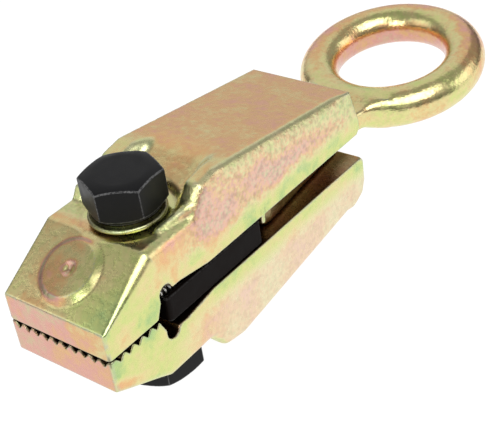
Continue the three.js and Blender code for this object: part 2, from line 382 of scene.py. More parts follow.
# The bite face, the spring groove behind it and the slot for the pull block, from the front
MOUTH = rounded([
    (BEFORE, TOOTH_PLANE, 0),
    (22.2, TOOTH_PLANE, 0.5),
    (24.6, 5.4, 0.6),
    (24.7, 10.1, 2.6),
    (30.1, 10.1, 2.6),
    (30.1, 7.4, 0.8),
    (34, 7.4, 2),
    (48, SLOT_Z, 3),
    (BEYOND, SLOT_Z, 0),
    (BEYOND, ABOVE, 0),
    (BEFORE, ABOVE, 0),
])
# The hollow that leads a wrench from the back down into the scoop round the bolt head
RAMP = rounded([
    (BOLT_Y, SCOOP_Z, 0),
    (50.5, SCOOP_Z + 0.4, 4),
    (68, 33.4, 14),
    (78, 33.9, 0),
    (78, ABOVE, 0),
    (BOLT_Y, ABOVE, 0),
])
EAR = rounded([(35.2, 18, 0), (35.2, 25.4, 1), (37.2, 28.4, 1.2), (52, 29.6, 1), (52, 18, 0)])


def pad_rise(x, y, z):
    """How far the round pad on the nose stands proud of the slope."""
    across = x - PAD_X
    up_slope = y * math.cos(NOSE_ANGLE) + (z - UPPER_NOSE_EDGE_Z) * math.sin(NOSE_ANGLE)
    along = up_slope - PAD_ALONG
    radius = np.hypot(across, along)
    towards = PAD_HIGH_SIDE[0] * across + PAD_HIGH_SIDE[1] * along
    lean = np.clip(towards / PAD_RADIUS, -1, 1)
    edge = PAD_EDGE + PAD_EDGE_GROWTH * lean
    pad = 1 - np.clip((radius - PAD_TOP_RADIUS) / edge, 0, 1)
    dimple = fade_out(radius, 0.2, DIMPLE_RADIUS)
    return (PAD_RISE + PAD_LEAN * lean) * pad - DIMPLE_DEPTH * dimple


def bolt_radius(x, y):
    return np.hypot(x, y - BOLT_Y)


def flank_edge(x, y, tip_edge, rear_edge):
    """Radius of the edge between a jaw's outside and its flanks."""
    right = mix(smooth_step(y, -2, 24), tip_edge, SHOULDER_EDGE)
    right = mix(smooth_step(y, 124, 130), right, rear_edge)
    return mix(smooth_step(x, -8, 8), LEFT_EDGE, right)


def jaw_body(x, y, z, back, scoop_radius, tip_edge, rear_edge):
    """A jaw without teeth or lugs."""
    outside = outline_distance(back, y, z) - pad_rise(x, y, z)
    ear = both(x - EAR_INSIDE_X, outline_distance(EAR, y, z), 1)
    outside = either(outside, ear, 1.5)
    body = both(np.abs(x) - HALF_WIDTH, outside, flank_edge(x, y, tip_edge, rear_edge))
    body = both(body, outline_distance(MOUTH, y, z), 0.5)
    ramp = both(outline_distance(RAMP, y, z), np.abs(x) - RAMP_HALF_WIDTH, 4)
    scoop = both(bolt_radius(x, y) - scoop_radius, SCOOP_Z - z, 0.8)
    body = without(body, either(scoop, ramp, 2), 2.2)
    body = without(body, bolt_radius(x, y) - BOLT_HOLE_RADIUS, 0.6)
    pocket = np.maximum(bolt_radius(x, y) - SPRING_POCKET_RADIUS, z - SPRING_POCKET_Z)
    return without(body, pocket, 0.4)


def seat_ridge(x, y, z):
    """The forging's raised lip at the right of the bolt's seat."""
    (xa, ya, za), (xb, yb, zb) = SEAT_RIDGE
    dx, dy, dz = xb - xa, yb - ya, zb - za
    along = ((x - xa) * dx + (y - ya) * dy + (z - za) * dz) / (dx * dx + dy * dy + dz * dz)
    along = np.clip(along, 0, 1)
    ax, ay, az = x - xa - along * dx, y - ya - along * dy, z - za - along * dz
    return np.sqrt(ax * ax + ay * ay + az * az) - SEAT_RIDGE_RADIUS


# The two lugs that stop the pull block at the rear
LUG_INSIDE_X = HALF_WIDTH - 4.1
BLOCK_LOW, BLOCK_HIGH = jaw_box("pull_block")
LUG_FRONT_Y = BLOCK_HIGH[1] + 0.3
LUG_REAR_Y = LUG_FRONT_Y + 1.7
LUG_TIP_Z = 2.2
LUG_ROOT_Z = SLOT_Z + 3  # inside the jaw


def upper_jaw_field(x, y, z):
    body = jaw_body(x, y, z, UPPER_BACK, **UPPER_SHAPE)
    body = either(body, seat_ridge(x, y, z), 1.2)
    sideways = between(np.abs(x), LUG_INSIDE_X, HALF_WIDTH)
    lug = both(sideways, between(y, LUG_FRONT_Y, LUG_REAR_Y), 0.4)
    lug = both(lug, between(z, LUG_TIP_Z, LUG_ROOT_Z), 0.4)
    return either(body, lug, 0.4)


# The lower jaw's bite: V notches both ways, which leave pyramids between them
TOOTH_PITCH = 4.1
FIRST_TOOTH_Y = 4.3
ROWS_ALONG = 5
ROWS_ACROSS = 10
TOOTH_HALF_WIDTH = 1.7
TOOTH_DEPTH_ACROSS = 2.3
TOOTH_DEPTH_ALONG = 2.1
TOOTH_EDGE = 0.12
BITE_REAR_Y = 24


def notches(value, first, rows, z, depth):
    """Distance to a row of V notches in the bite face."""
    nearest = first + TOOTH_PITCH * np.clip(np.round((value - first) / TOOTH_PITCH), 0, rows - 1)
    wall = depth / TOOTH_HALF_WIDTH
    return (z - TOOTH_PLANE - depth + np.abs(value - nearest) * wall) / math.hypot(1, wall)


def lower_jaw_field(x, y, z):
    body = jaw_body(x, y, -z, LOWER_BACK, **LOWER_SHAPE)
    across = notches(y, FIRST_TOOTH_Y, ROWS_ALONG, -z, TOOTH_DEPTH_ALONG)
    first_x = -TOOTH_PITCH * (ROWS_ACROSS - 1) / 2
    along = notches(x, first_x, ROWS_ACROSS, -z, TOOTH_DEPTH_ACROSS)
    along = np.maximum(along, y - BITE_REAR_Y)
    return without(without(body, across, TOOTH_EDGE), along, TOOTH_EDGE)


# ---------------------------------------------------------------------------------------------
# Bolt, nut and washer
# ---------------------------------------------------------------------------------------------
# The turns are to a corner, anticlockwise from the right
HEAD_TURN = math.radians(36.7)
NUT_TURN = math.radians(21.6)
HEAD_ACROSS_CORNERS = 27.4
NUT_ACROSS_CORNERS = 31.2
HEAD_RIM_RADIUS = 11.4  # where the chamfer meets the end face
NUT_RIM_RADIUS = 13.2
NUT_MOUTH_RADIUS = 9.4
BOLT_TIP_RADIUS = 6.2
THREAD_PITCH = 2.309
THREAD_DEPTH = 1.1
THREAD_TOP_Z = -8.0
THREAD_RUN_IN = 1.0  # how far the thread reaches up into the plain shank
WASHER_LOW, WASHER_HIGH = jaw_box("bolt_washer")
BOLT_LOW, BOLT_HIGH = jaw_box("clamp_bolt")
NUT_LOW, NUT_HIGH = jaw_box("clamp_nut")
WASHER_SHIFT = (0.9, -0.9)  # the washer hangs a little off the bolt's centre
WASHER_RADIUS = 12.8
WASHER_HOLE_RADIUS = 9.4
WASHER_TOP_Z = WASHER_HIGH[2] - 0.9
COLLAR_RADIUS = 11.4
COLLAR_BOTTOM_Z = WASHER_TOP_Z + 0.15
HEAD_BOTTOM_Z = WASHER_HIGH[2] + 0.1
SHANK_RADIUS = 7.9
THREAD_PLAY = 0.3


def hexagon(x, y, across_corners, turn):
    """Distance to an upright six-sided prism about the bolt's axis."""
    flat = across_corners / 2 * math.cos(math.radians(30))
    widest = -np.inf
    for face in range(3):
        angle = turn + math.radians(30 + 60 * face)
        widest = np.maximum(widest, np.abs(x * math.cos(angle) + (y - BOLT_Y) * math.sin(angle)))
    return widest - flat


def chamfered_hexagon(x, y, z, across_corners, turn, low, high, rim):
    """A hexagon whose ends are turned to 30 degree cones that meet its end faces at `rim`."""
    steep = math.tan(math.radians(60))
    reach = bolt_radius(x, y) - rim
    top = both(z - high, (reach - steep * (high - z)) / 2, 1.5)
    bottom = both(low - z, (reach - steep * (z - low)) / 2, 0.5)
    sides = hexagon(x, y, across_corners, turn)
    return both(both(sides, top, 0.25), bottom, 0.25)


def thread(x, y, z):
    """Distance to a right-hand threaded rod."""
    turns = z / THREAD_PITCH - np.arctan2(y - BOLT_Y, x) / (2 * math.pi)
    tooth = np.abs((turns % 1) * 2 - 1)
    depth = THREAD_DEPTH * fade_out(tooth, 0.1, 0.9)
    return (bolt_radius(x, y) - SHANK_RADIUS + depth) * SLANT


def bolt_field(x, y, z):
    radius = bolt_radius(x, y)
    inside_head_z = HEAD_BOTTOM_Z + OVERLAP
    head = chamfered_hexagon(
        x, y, z, HEAD_ACROSS_CORNERS, HEAD_TURN, HEAD_BOTTOM_Z, BOLT_HIGH[2], HEAD_RIM_RADIUS,
    )
    collar = both(radius - COLLAR_RADIUS, between(z, COLLAR_BOTTOM_Z, inside_head_z), 0.3)
    head = either(head, collar, 0.2)
    plain = both(radius - SHANK_RADIUS, between(z, THREAD_TOP_Z, inside_head_z), 0.3)
    end_cone = (radius - BOLT_TIP_RADIUS - (z - BOLT_LOW[2])) * SLANT
    threaded = both(thread(x, y, z), between(z, BOLT_LOW[2], THREAD_TOP_Z + THREAD_RUN_IN), 0.2)
    threaded = both(threaded, end_cone, 0.2)
    return either(either(head, plain, 0.8), threaded, 0.2)


def nut_field(x, y, z):
    radius = bolt_radius(x, y)
    body = chamfered_hexagon(
        x, y, z, NUT_ACROSS_CORNERS, NUT_TURN, NUT_LOW[2], NUT_HIGH[2], NUT_RIM_RADIUS,
    )
    bore = radius - (SHANK_RADIUS + THREAD_PLAY)
    depth = np.minimum(z - NUT_LOW[2], NUT_HIGH[2] - z)
    mouth = (radius - NUT_MOUTH_RADIUS + depth) * SLANT
    return without(body, np.minimum(bore, mouth), 0.15)


def washer_field(x, y, z):
    centre = bolt_radius(x - WASHER_SHIFT[0], y - WASHER_SHIFT[1])
    ring = both(centre - WASHER_RADIUS, z - WASHER_TOP_Z, 0.7)
    ring = both(ring, WASHER_LOW[2] - z, 0.5)
    return without(ring, centre - WASHER_HOLE_RADIUS, 0.3)


# ---------------------------------------------------------------------------------------------
# Pull block and eye
# ---------------------------------------------------------------------------------------------
FORK_HALF_WIDTH = 11.8
FORK_ROOT_Y = 41.0
SOCKET_RADIUS = 9.5
NECK_HALF_WIDTH = 5.4
SWING = math.radians(joints["eye_swing"]["range_deg"][1])
SPRING_LOW, SPRING_HIGH = jaw_box("return_spring_right")
SPRING_X = (SPRING_LOW[0] + SPRING_HIGH[0]) / 2
SPRING_Z = (SPRING_LOW[2] + SPRING_HIGH[2]) / 2
SPRING_GROOVE_RADIUS = 2.4
NECK_PLAY = 0.4
SOCKET_PLAY = 0.3
SPRING_PLAY = 0.3
BLOCK_EDGE = 0.5


def block_field(x, y, z):
    plate = both(np.abs(x) - BLOCK_HIGH[0], between(y, BLOCK_LOW[1], BLOCK_HIGH[1]), 1.5)
    plate = both(plate, between(z, BLOCK_LOW[2], BLOCK_HIGH[2]), 0.6)
    fork = np.where(y < FORK_ROOT_Y, np.abs(x), np.hypot(x, y - FORK_ROOT_Y)) - FORK_HALF_WIDTH
    plate = without(plate, fork, BLOCK_EDGE)
    plate = without(plate, np.hypot(x, y - PIVOT_Y) - SOCKET_RADIUS, BLOCK_EDGE)
    flare = np.maximum(y - PIVOT_Y, 0) * math.tan(SWING)
    mouth = np.maximum(np.abs(x) - NECK_HALF_WIDTH - NECK_PLAY - flare, PIVOT_Y - y)
    plate = without(plate, mouth, BLOCK_EDGE)
    groove = np.hypot(np.abs(x) - SPRING_X, z - SPRING_Z) - SPRING_GROOVE_RADIUS
    groove = np.maximum(groove, y - SPRING_HIGH[1] - SPRING_PLAY)
    return without(plate, groove, 0.3)


EYE_HIGH = jaw_box("pull_eye")[1]
RING_TUBE = 7.9
RING_RADIUS = EYE_HIGH[0] - RING_TUBE
RING_TILT = math.radians(8)
RING_Y = EYE_HIGH[1] - RING_TUBE - RING_RADIUS * math.cos(RING_TILT)
RING_Z = 1.7
SHANK_FRONT_Y = PIVOT_Y - 4  # inside the round head
SHANK_REAR_Y = 175  # past the end of SHANK_PLAN
SHANK_HALF_PLAN = [
    (NECK_HALF_WIDTH, SHANK_FRONT_Y, 0),
    (NECK_HALF_WIDTH, 78, 2),
    (13, 80.6, 2.5),
    (16.2, 83, 2.5),
    (16.7, 86, 3),
    (11.4, 134, 20),
    (10.4, 146, 10),
    (12.5, 156, 8),
    (17, 161, 0),
]
SHANK_PLAN = rounded(SHANK_HALF_PLAN + [(-x, y, r) for x, y, r in reversed(SHANK_HALF_PLAN)])
SHANK_PROFILE = rounded([
    (SHANK_FRONT_Y, BLOCK_LOW[2], 0),
    (SHANK_REAR_Y, BLOCK_LOW[2], 0),
    (SHANK_REAR_Y, 3.1, 0),
    (136, 3.1, 4),
    (84, 4.1, 4),
    (76, 4.3, 0),
    (SHANK_FRONT_Y, 4.3, 0),
])


def eye_field(x, y, z):
    shank = both(outline_distance(SHANK_PLAN, x, y), outline_distance(SHANK_PROFILE, y, z), 1.8)
    head = np.hypot(x, y - PIVOT_Y) - SOCKET_RADIUS + SOCKET_PLAY
    head = both(head, between(z, BLOCK_LOW[2], BLOCK_HIGH[2]), 0.6)
    along = (y - RING_Y) * math.cos(RING_TILT) + (z - RING_Z) * math.sin(RING_TILT)
    rise = (z - RING_Z) * math.cos(RING_TILT) - (y - RING_Y) * math.sin(RING_TILT)
    ring = np.hypot(np.hypot(x, along) - RING_RADIUS, rise) - RING_TUBE
    return either(either(shank, ring, 5), head, 0.6)


# ---------------------------------------------------------------------------------------------
# Springs
# ---------------------------------------------------------------------------------------------


def coil(name, centre, axis, radius, wire, turns, length, sides=10, steps=40):
    """A coil spring of round wire about axis 1 (Y) or 2 (Z), with closed ends.

    radius is from the axis to the middle of the wire, and wire is the wire's own radius.
    """
    angle = np.linspace(0, 2 * math.pi * turns, turns * steps + 1)
    share = angle / angle[-1]
    flat = 0.5 / turns  # the first and last half turns lie nearly square to the axis
    rise = np.clip((share - flat) / (1 - 2 * flat), 0, 1)
    height = (rise - 0.5) * (length - 4 * wire) + (share - 0.5) * 2 * wire
    spoke = np.stack([np.cos(angle), np.sin(angle), 0 * angle], axis=1)
    middle = radius * spoke + np.stack([0 * angle, 0 * angle, height], axis=1)
    ahead = np.gradient(middle, axis=0)
    ahead /= np.linalg.norm(ahead, axis=1, keepdims=True)
    across = np.cross(ahead, spoke)
    round_wire = np.linspace(0, 2 * math.pi, sides, endpoint=False)
    outward, sideways = np.cos(round_wire)[:, None], np.sin(round_wire)[:, None]
    section = outward * spoke[:, None] + sideways * across[:, None]
    points = (middle[:, None] + wire * section).reshape(-1, 3)
    rings = len(middle)
    first = np.arange(rings - 1)[:, None] * sides + np.arange(sides)
    second = np.arange(rings - 1)[:, None] * sides + (np.arange(sides) + 1) % sides
    walls = np.stack([first, first + sides, second + sides, second], axis=2).reshape(-1, 4)
    ends = np.array([np.arange(sides), (rings - 1) * sides + np.arange(sides)[::-1]])
    if axis == 1:
        points = points[:, [0, 2, 1]] * [1, 1, -1]
    return add_mesh(name, points + centre, [walls, ends])


# ---------------------------------------------------------------------------------------------
# Materials
# ---------------------------------------------------------------------------------------------


def add_node(tree, kind, inputs=None, **settings):
    made = tree.nodes.new(kind)
    for name, value in settings.items():
        setattr(made, name, value)
    for name, value in (inputs or {}).items():
        socket = made.inputs[name]
        if isinstance(value, bpy.types.NodeSocket):
            tree.links.new(value, socket)
        else:
            socket.default_value = value
    return made


def new_material(name, **values):
    """An empty Principled material: its tree, its shader and the place that textures read."""
    material = bpy.data.materials.new(name)
    material.use_nodes = True
    tree = material.node_tree
    shader = tree.nodes["Principled BSDF"]
    for socket, value in values.items():
        shader.inputs[socket.replace("_", " ")].default_value = value
    place = add_node(tree, "ShaderNodeTexCoord").outputs["Object"]
    return material, tree, shader, place


def noise(tree, place, size, detail=2.0, roughness=0.5):
    """Fractal noise from 0 to 1 whose lumps are about `size` millimetres across."""
    inputs = {"Vector": place, "Scale": 1 / (size * MM), "Detail": detail, "Roughness": roughness}
    return add_node(tree, "ShaderNodeTexNoise", inputs).outputs["Fac"]


def maths(tree, operation, a, b=0.0, c=0.0):
    inputs = {0: a, 1: b, 2: c}
    return add_node(tree, "ShaderNodeMath", inputs, operation=operation).outputs[0]


def remap(tree, value, low, high, to_low=0.0, to_high=1.0):
    inputs = {"Value": value, "From Min": low, "From Max": high, "To Min": to_low, "To Max": to_high}
    return add_node(tree, "ShaderNodeMapRange", inputs).outputs["Result"]


def stored(tree, name):
    """A number that sculpt() kept at each point."""
    return add_node(tree, "ShaderNodeAttribute", attribute_name=name).outputs["Fac"]


def blend_colours(tree, share, a, b, how="MIX"):
    made = add_node(tree, "ShaderNodeMix", data_type="RGBA", blend_type=how)
    for index, value in ((0, share), (6, a), (7, b)):
        if isinstance(value, bpy.types.NodeSocket):
            tree.links.new(value, made.inputs[index])
        else:
            made.inputs[index].default_value = value if index == 0 else (*value, 1)
    return made.outputs[2]


def colour_ramp(tree, value, stops):
    made = add_node(tree, "ShaderNodeValToRGB", {"Fac": value})
    ramp = made.color_ramp
    while len(ramp.elements) < len(stops):
        ramp.elements.new(0.5)
    for element, (position, colour) in zip(ramp.elements, stops):
        element.position = position
        element.color = (*colour, 1)
    return made.outputs["Color"]


def bumped(tree, shader, height, strength, distance):
    inputs = {"Height": height, "Strength": strength, "Distance": distance * MM}
    bump = add_node(tree, "ShaderNodeBump", inputs)
    tree.links.new(bump.outputs["Normal"], shader.inputs["Normal"])


# Yellow chromate over zinc, from the thinnest film to the thickest: where each colour stands on
# the film's scale, and the colour.
GREEN, LIME, STRAW, TAN, PINK, OLIVE = 0.30, 0.40, 0.50, 0.60, 0.70, 0.84
FILM_COLOURS = [
    (GREEN, (0.44, 0.60, 0.25)),
    (LIME, (0.66, 0.71, 0.27)),
    (STRAW, (0.78, 0.68, 0.33)),
    (TAN, (0.80, 0.49, 0.23)),
    (PINK, (0.80, 0.42, 0.35)),
    (OLIVE, (0.66, 0.60, 0.34)),
]
WORN_FILM = (0.86, 0.79, 0.64)
SCUFFED_FILM = (0.54, 0.58, 0.42)
# Painted shade: the brown that concave creases and hollows are darkened towards
HOLLOW_SHADE_BROWN = (0.30, 0.20, 0.12)
# Painted shade: the dark brown that slots, holes, tooth walls and other shaded faces are darkened to
PAINTED_SHADE_BROWN = (0.07, 0.035, 0.022)
SCUFFED_BLACK = (0.34, 0.34, 0.34)

# Sizes of the plating's noises, in millimetres, and how far each moves the film
PATCH_SIZE = 13
MOTTLE_SIZE = 2.6
MOTTLE_SWING = 0.2
SPECK_SIZE = 1.2
SPECK_SWING = 0.45
PIT_SIZE = 1.9
DARKEST_PIT = 0.76
# How much of that painted crease shade is mixed in
HOLLOW_SHADE_SHARE = 0.4
FORGED_ROUGHNESS = 0.12  # added where the skin is grainy


def yellow_zinc(name, roughness, grain):
    """Iridescent yellow zinc plating over forged steel."""
    material, tree, shader, place = new_material(name, Metallic=1.0)
    patches = noise(tree, place, PATCH_SIZE, 3, 0.55)
    mottle = noise(tree, place, MOTTLE_SIZE, 4, 0.6)
    speck = noise(tree, place, SPECK_SIZE, 3, 0.55)
    forged = stored(tree, "forged")

    patch_swing = maths(tree, "SUBTRACT", patches, 0.5)
    film = maths(tree, "MULTIPLY_ADD", patch_swing, stored(tree, "patchy"), stored(tree, "film"))
    mottle_swing = maths(tree, "SUBTRACT", mottle, 0.5)
    film = maths(tree, "MULTIPLY_ADD", mottle_swing, MOTTLE_SWING, film)
    speck_swing = maths(tree, "MULTIPLY", maths(tree, "SUBTRACT", speck, 0.5), forged)
    film = maths(tree, "MULTIPLY_ADD", speck_swing, SPECK_SWING, film)
    colour = colour_ramp(tree, film, FILM_COLOURS)

    bend = stored(tree, "bend")
    edge = remap(tree, bend, 0.3, 0.8)
    scuffed = maths(tree, "MULTIPLY", edge, remap(tree, mottle, 0.35, 0.6, 0.1, 0.7))
    colour = blend_colours(tree, scuffed, colour, SCUFFED_FILM)
    # Painted shade: concave creases are darkened towards brown
    hollow = remap(tree, bend, -0.15, -0.7)
    hollow = maths(tree, "MULTIPLY", hollow, HOLLOW_SHADE_SHARE)
    colour = blend_colours(tree, hollow, colour, HOLLOW_SHADE_BROWN)
    colour = blend_colours(tree, stored(tree, "faded"), colour, WORN_FILM)
    # Painted shade, kept at each point by the paint functions, darkens the colour towards dark brown
    colour = blend_colours(tree, stored(tree, "painted_shade"), colour, PAINTED_SHADE_BROWN)

    pits = remap(tree, noise(tree, place, PIT_SIZE, 3, 0.6), 0.34, 0.56, DARKEST_PIT, 1.0)
    shade = maths(tree, "MULTIPLY_ADD", maths(tree, "SUBTRACT", pits, 1.0), forged, 1.0)
    grey = add_node(tree, "ShaderNodeCombineColor", {0: shade, 1: shade, 2: shade}).outputs[0]
    colour = blend_colours(tree, 1.0, colour, grey, "MULTIPLY")
    tree.links.new(colour, shader.inputs["Base Color"])

    rough = remap(tree, mottle, 0.3, 0.7, roughness - 0.06, roughness + 0.08)
    rough = maths(tree, "MULTIPLY_ADD", forged, FORGED_ROUGHNESS, rough)
    tree.links.new(rough, shader.inputs["Roughness"])
    relief = maths(tree, "MULTIPLY", maths(tree, "MULTIPLY", speck, forged), 2.0)
    height = maths(tree, "MULTIPLY_ADD", mottle, 0.5, relief)
    bumped(tree, shader, height, grain, 0.35)
    return material


def black_oxide(name, tint, worn, roughness, shine):
    """Blackened steel with worn, greyer edges."""
    material, tree, shader, place = new_material(name, Metallic=0.1, Specular_IOR_Level=shine)
    clouds = noise(tree, place, 5, 4, 0.6)
    speck = noise(tree, place, 0.7, 3, 0.7)
    lighter_tint = tuple(1.5 * part for part in tint)
    base = colour_ramp(tree, clouds, [(0.3, tint), (0.7, lighter_tint)])
    edge = remap(tree, stored(tree, "bend"), 0.7, 1.5)
    scuff = maths(tree, "MULTIPLY", edge, remap(tree, speck, 0.38, 0.6, 0.15, 1.0))
    colour = blend_colours(tree, maths(tree, "MULTIPLY", scuff, worn), base, SCUFFED_BLACK)
    tree.links.new(colour, shader.inputs["Base Color"])
    rough = remap(tree, clouds, 0.3, 0.7, roughness - 0.05, roughness + 0.08)
    tree.links.new(rough, shader.inputs["Roughness"])
    bumped(tree, shader, speck, 0.2, 0.1)
    return material


def spring_steel(name):
    material, tree, shader, place = new_material(name, Metallic=1.0)
    stains = noise(tree, place, 1.5, 3)
    colour = colour_ramp(tree, stains, [(0.3, (0.42, 0.41, 0.38)), (0.7, (0.66, 0.65, 0.62))])
    tree.links.new(colour, shader.inputs["Base Color"])
    tree.links.new(remap(tree, stains, 0.3, 0.7, 0.25, 0.4), shader.inputs["Roughness"])
    return material


# ---------------------------------------------------------------------------------------------
# Where the plating differs: forged is how grainy the skin is, film its place on the film's scale,
# patchy how much the film wanders, faded how worn it is, and the painted shade how much shade is
# painted onto it. The limits of a zone are millimetres in the jaw frame, or parts of a normal.
# ---------------------------------------------------------------------------------------------
CHIN_SLOPE = 0.53  # rise of the lower jaw's nose
JAW_GRAIN = 0.16  # where it is smoothest
PLAIN_GRAIN = 0.3  # of the eye and the washer
GOLDEN_SIDE = [0.5, -0.87]  # of the ring, in plan
UNSHADED_SIDE = [0.62, -0.78]  # of the washer, in plan


def jaw_zones(points, normals, side):
    """Where each point of a jaw is, and how much it belongs to each zone, from 0 to 1."""
    at = SimpleNamespace(x=points[:, 0], y=points[:, 1], height=points[:, 2] * side)
    sideways = np.abs(normals[:, 0])
    outward = normals[:, 2] * side
    outermost = smooth_step(np.abs(at.x), HALF_WIDTH - 4, HALF_WIDTH - 2)
    at.flank = smooth_step(sideways, 0.55, 0.9) * outermost
    at.nose = smooth_step(-at.y, -27, -22)
    at.front = smooth_step(-normals[:, 1], 0.7, 0.95) * at.nose

    pad_distance = np.hypot(at.x - PAD_X, at.y / math.cos(NOSE_ANGLE) - PAD_ALONG)
    at.pad = fade_out(pad_distance, 7, 12)
    # The pad's rim on its left side only: a painted shade line, made pinker and darker further on
    rim_distance = pad_distance - PAD_RADIUS + 0.6
    at.pad_rim = np.exp(-(rim_distance / 0.7) ** 2) * smooth_step(-at.x, -3, 3)
    at.dimple = fade_out(pad_distance, 1.5, 4)

    top_edge = smooth_step(sideways, 0.15, 0.4) * (1 - at.flank)
    at.top_edge = top_edge * smooth_step(outward, 0.2, 0.5)
    seat = smooth_step(at.height, 20, 23) * smooth_step(at.y, 25, 30) * fade_out(at.y, 50, 53)
    at.seat = seat * (1 - at.flank)
    inside = smooth_step(-outward, 0.3, 0.6) * fade_out(at.height, 11, 12)
    at.inside = inside * (1 - at.flank) * (1 - at.front)
    at.bolt_hole = fade_out(bolt_radius(at.x, at.y), 10, 12)
    tooth = smooth_step(-np.abs(outward), -0.93, -0.85) * fade_out(at.height, 1.6, 3) * at.nose
    at.tooth_wall = tooth * (1 - at.front) * (1 - at.flank)
    at.near_slot = fade_out(at.height, 9, 17)
    return at


def upper_flank_film(at):
    """Straw at the front and under the top edge, then pink and tan, with lime along the slot."""
    film = mix(smooth_step(at.y, 24, 52), STRAW + 0.02, PINK + 0.02)
    film = mix(smooth_step(at.y, 96, 130), film, TAN + 0.03)
    top_share = (at.y - TOP_FRONT_Y) / (TOP_REAR_Y - TOP_FRONT_Y)
    below_top = mix(top_share, TOP_FRONT_Z, TOP_REAR_Z) - at.height
    film = mix(fade_out(below_top, 3, 12) * smooth_step(at.y, 40, 56), film, STRAW)
    by_slot = mix(smooth_step(at.y, 16, 34), STRAW - 0.02, LIME + 0.03)
    return mix(at.near_slot, film, by_slot)


def lower_flank_film(at):
    """Lime at the front and along the slot, tan behind, and redder beside the nose's edge."""
    film = mix(smooth_step(at.y, 6, 50), LIME - 0.02, TAN - 0.02)
    below_nose = LOWER_NOSE_EDGE_Z + CHIN_SLOPE * at.y - at.height
    chin = fade_out(below_nose, 2, 7) * fade_out(at.y, 14, 26)
    by_slot = mix(smooth_step(at.y, 16, 30), LIME - 0.03, LIME + 0.03)
    return mix(at.near_slot, film, mix(chin, by_slot, TAN + 0.06))


UPPER_LOOK = SimpleNamespace(
    flank_film=upper_flank_film,
    front_right_film=TAN + 0.01,
    front_patchy=0.8,
    flank_patchy=0.7,
    flank_forged=0.84,
    flank_faded=0.25,
)
LOWER_LOOK = SimpleNamespace(
    flank_film=lower_flank_film,
    front_right_film=PINK - 0.01,
    front_patchy=0.35,
    flank_patchy=0.45,
    flank_forged=0.3,
    flank_faded=0.5,
)


def jaw_film(at, look):
    slope = mix(smooth_step(at.x, -14, 18), STRAW + 0.01, LIME + 0.02)
    # Painted shade: the line along the pad's left rim is moved towards pink
    slope = slope + 0.07 * at.pad + 0.3 * at.pad_rim + 0.25 * at.dimple
    front = mix(smooth_step(at.x, -4, 18), PINK - 0.01, look.front_right_film)
    behind_seat = smooth_step(at.y, 46, 52) * fade_out(at.y, 60, 70)
    film = mix(at.nose, TAN - 0.06 * behind_seat, mix(at.front, slope, front))
    film = mix(at.flank, film, look.flank_film(at))
    film = mix(at.top_edge, film, LIME + 0.04)
    return mix(at.seat, film, LIME + 0.02)


# Painted shade on a jaw: slot, bolt hole, tooth walls, a little on the front faces, the pad's left
# rim
def jaw_painted_shade(at):
    slot = at.inside * (0.95 - 0.35 * smooth_step(at.y, 74, 92))
    painted_shade = np.maximum(slot, np.maximum(0.8 * at.bolt_hole, 0.95 * at.tooth_wall))
    return np.maximum(painted_shade, np.maximum(0.13 * at.front, 0.3 * at.pad_rim * at.nose))


def paint_jaw(points, normals, side):
    """side is 1 for the upper jaw and -1 for the lower one."""
    at = jaw_zones(points, normals, side)
    look = UPPER_LOOK if side > 0 else LOWER_LOOK
    high_flank = smooth_step(at.height, 10, 15) * smooth_step(at.y, 34, 46) * at.flank
    seat_wall = at.seat * smooth_step(bolt_radius(at.x, at.y), 14, 17)
    worn_flank = at.flank * smooth_step(at.y, 20, 60) * smooth_step(at.height, 7, 16)
    worn_edge = at.top_edge * smooth_step(at.y, 45, 60)
    faded = np.maximum(look.flank_faded * worn_flank, 0.15 * at.seat)
    patchy = mix(at.front, mix(at.nose, 0.30, 0.36), look.front_patchy)
    return {
        "forged": JAW_GRAIN + look.flank_forged * high_flank + 0.5 * seat_wall,
        "film": jaw_film(at, look),
        "patchy": mix(at.flank, patchy, look.flank_patchy),
        "faded": np.maximum(faded, 0.35 * worn_edge),
        "painted_shade": jaw_painted_shade(at),
    }


def spokes(points, centre_y):
    """Directions in plan, from a centre on the middle plane to each point."""
    spoke = points[:, :2] - [0, centre_y]
    return spoke / np.linalg.norm(spoke, axis=1, keepdims=True)


def paint_eye(points, normals):
    """Painted shade in the slot and on the hole's wall; golden on the ring's front and inner top,
    tan in its hole.
    """
    in_slot = fade_out(points[:, 1], 134, 150)
    spoke = spokes(points, RING_Y)
    facing_hole = -(spoke * normals[:, :2]).sum(axis=1)
    inner_wall = smooth_step(facing_hole, 0.4, 0.8) * smooth_step(-normals[:, 2], -0.5, 0)
    inner_wall = inner_wall * (1 - in_slot)
    inner_top = smooth_step(facing_hole, 0, 0.4) * smooth_step(normals[:, 2], 0.4, 0.7)
    golden = np.maximum(smooth_step(spoke @ GOLDEN_SIDE, 0, 0.8), inner_top)
    return {
        "forged": np.full(len(points), PLAIN_GRAIN),
        "film": TAN - 0.09 * golden + 0.08 * inner_wall,
        "patchy": np.full(len(points), 0.45),
        # Painted shade: heavy on the part inside the slot, light on the wall of the ring's hole
        "painted_shade": 0.7 * in_slot + 0.15 * inner_wall,
    }


def paint_washer(points, normals):
    """Painted shade all round, but for a crescent in front."""
    unshaded = smooth_step(spokes(points, BOLT_Y) @ UNSHADED_SIDE, 0.8, 0.97)
    return {
        "forged": np.full(len(points), PLAIN_GRAIN),
        "film": np.full(len(points), LIME + 0.02),
        "patchy": np.full(len(points), 0.4),
        # Painted shade everywhere but the front crescent
        "painted_shade": 0.62 * (1 - unshaded),
    }


# ---------------------------------------------------------------------------------------------
# Pieces
# ---------------------------------------------------------------------------------------------


def place_piece(piece, body, node, material):
    piece.data.materials.append(material)
    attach(piece, body)
    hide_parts(node)


